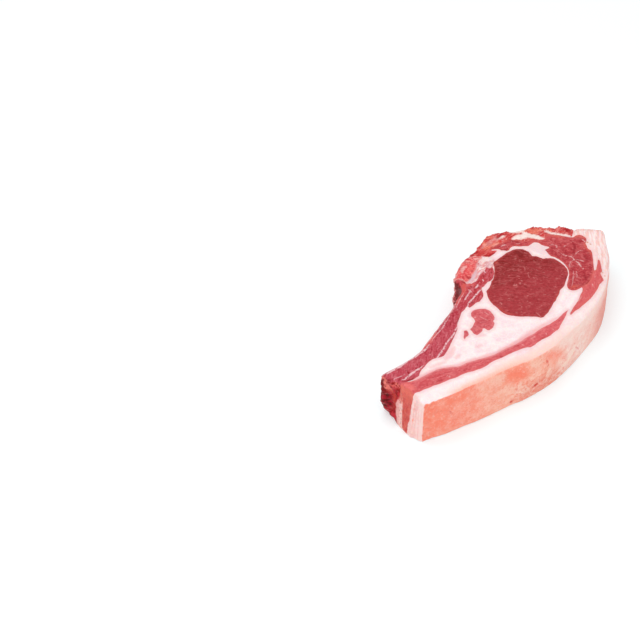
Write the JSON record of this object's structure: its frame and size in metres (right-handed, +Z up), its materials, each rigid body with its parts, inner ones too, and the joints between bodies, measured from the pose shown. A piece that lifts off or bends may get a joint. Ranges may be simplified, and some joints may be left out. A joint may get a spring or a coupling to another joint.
{
  "type": "mutton rib chop",
  "caption": "Thick raw mutton rib chop lying flat: round eye muscle, cap and flank streaks, creamy fat with a rind side, a rib along one side and a piece of backbone.",
  "frame": {"origin": "under the middle of the chop's box, on the surface it lies on", "axes": "+X from the thin tip to the thick loin end, +Y towards the rib side, +Z up through the thickness"},
  "size_m": [0.158, 0.071, 0.0284],
  "materials": {
    "eye_lean": "moist deep red lean, fine grain",
    "cap_lean": "moist red lean with thin white seams",
    "streak_lean": "moist pinkish red lean",
    "rib_lean": "moist dark red lean under a thin membrane",
    "fat": "firm creamy fat, salmon pink on its outer side",
    "rib_bone": "bone under a greyish pink membrane, sawn end dark red",
    "chine_marrow": "sawn spongy bone, orange red",
    "cartilage": "smooth whitish gristle",
    "back_trim": "ragged red and pink trimmings"
  },
  "bodies": {
    "root": {"eye_muscle": "eye_lean", "cap_muscle": "cap_lean", "side_muscle": "streak_lean", "flank_muscle": "streak_lean", "inner_muscle_a": "streak_lean", "inner_muscle_b": "streak_lean", "inner_muscle_c": "streak_lean", "rib_muscle": "rib_lean", "fat": "fat", "rib_bone": "rib_bone", "chine_bone": "chine_marrow", "chine_cartilage": "cartilage", "back_trim": "back_trim"}
  },
  "joints": []
}
